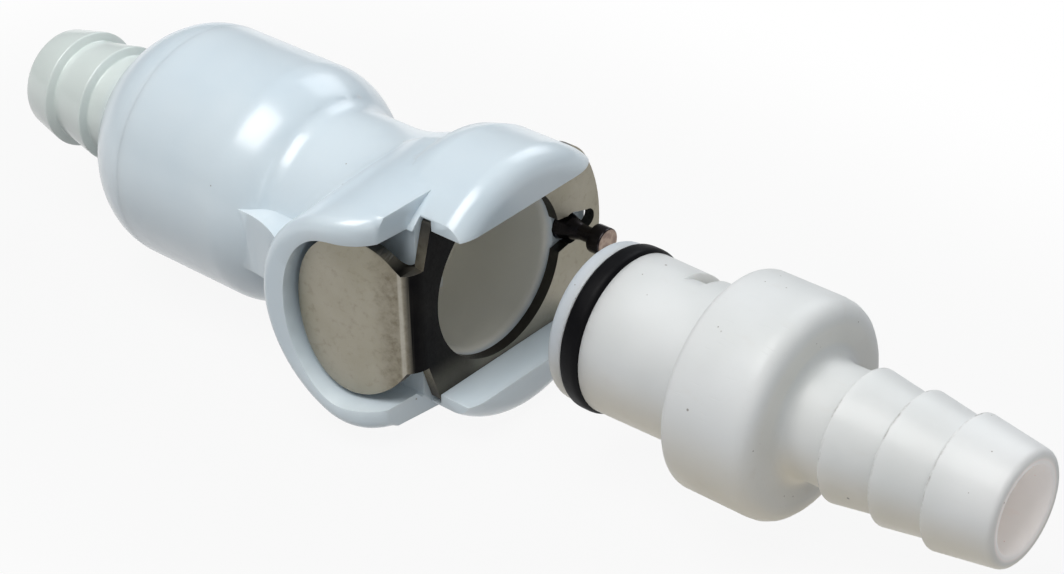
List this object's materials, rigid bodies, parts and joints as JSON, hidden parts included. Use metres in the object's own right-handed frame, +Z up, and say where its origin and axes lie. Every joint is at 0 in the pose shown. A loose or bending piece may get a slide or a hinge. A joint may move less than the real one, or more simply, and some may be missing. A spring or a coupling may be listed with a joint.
{
  "type": "fuel line quick connector",
  "caption": "Quick-disconnect hose coupling: latching body with thumb-plate release and shut-off valve, plus a barbed male insert that plugs in along one axis.",
  "frame": {"origin": "On the flow axis, at the mouth of the body's hose barb.", "axes": "+X runs along the flow axis from the body's hose barb to the insert's hose barb. +Y points from the thumb pad to the latch pin. +Z is up."},
  "size_m": [0.0944, 0.0243, 0.0214],
  "materials": {
    "body_acetal": "milky cool white acetal, satin",
    "terminal_acetal": "milky slightly greenish acetal, satin",
    "insert_acetal": "warm white acetal, matte",
    "latch_steel": "matte rolled stainless sheet",
    "pin_steel": "dark turned steel",
    "spring_steel": "drawn spring wire",
    "valve_acetal": "moulded acetal",
    "seal_rubber": "black nitrile rubber"
  },
  "bodies": {
    "coupling": {"coupling_body": "body_acetal", "hose_barb_terminal": "terminal_acetal", "terminal_seal": "seal_rubber", "latch_spring": "spring_steel", "pin_spring": "spring_steel", "valve_spring": "spring_steel"},
    "latch": {"latch_plate": "latch_steel"},
    "pin": {"latch_pin": "pin_steel"},
    "poppet": {"valve_poppet": "valve_acetal", "poppet_seal": "seal_rubber"},
    "insert": {"insert_body": "insert_acetal", "insert_o_ring": "seal_rubber"}
  },
  "joints": [
    {"name": "insert_slide", "type": "slide", "parent": "coupling", "child": "insert", "axis": [-1, 0, 0], "range_m": [0, 0.01805]},
    {"name": "poppet_slide", "type": "slide", "parent": "coupling", "child": "poppet", "axis": [-1, 0, 0], "range_m": [0, 0.002], "deforming": ["valve_spring"]},
    {"name": "latch_slide", "type": "slide", "parent": "coupling", "child": "latch", "axis": [0, -1, 0], "range_m": [0, 0.0018], "deforming": ["latch_spring"]},
    {"name": "pin_slide", "type": "slide", "parent": "coupling", "child": "pin", "axis": [-1, 0, 0], "range_m": [0, 0.00205], "deforming": ["pin_spring"]}
  ],
  "couplings": [
    {"joint": "poppet_slide", "follows": "insert_slide", "ratio": 0.1108},
    {"joint": "pin_slide", "follows": "latch_slide", "ratio": 1.1388}
  ]
}
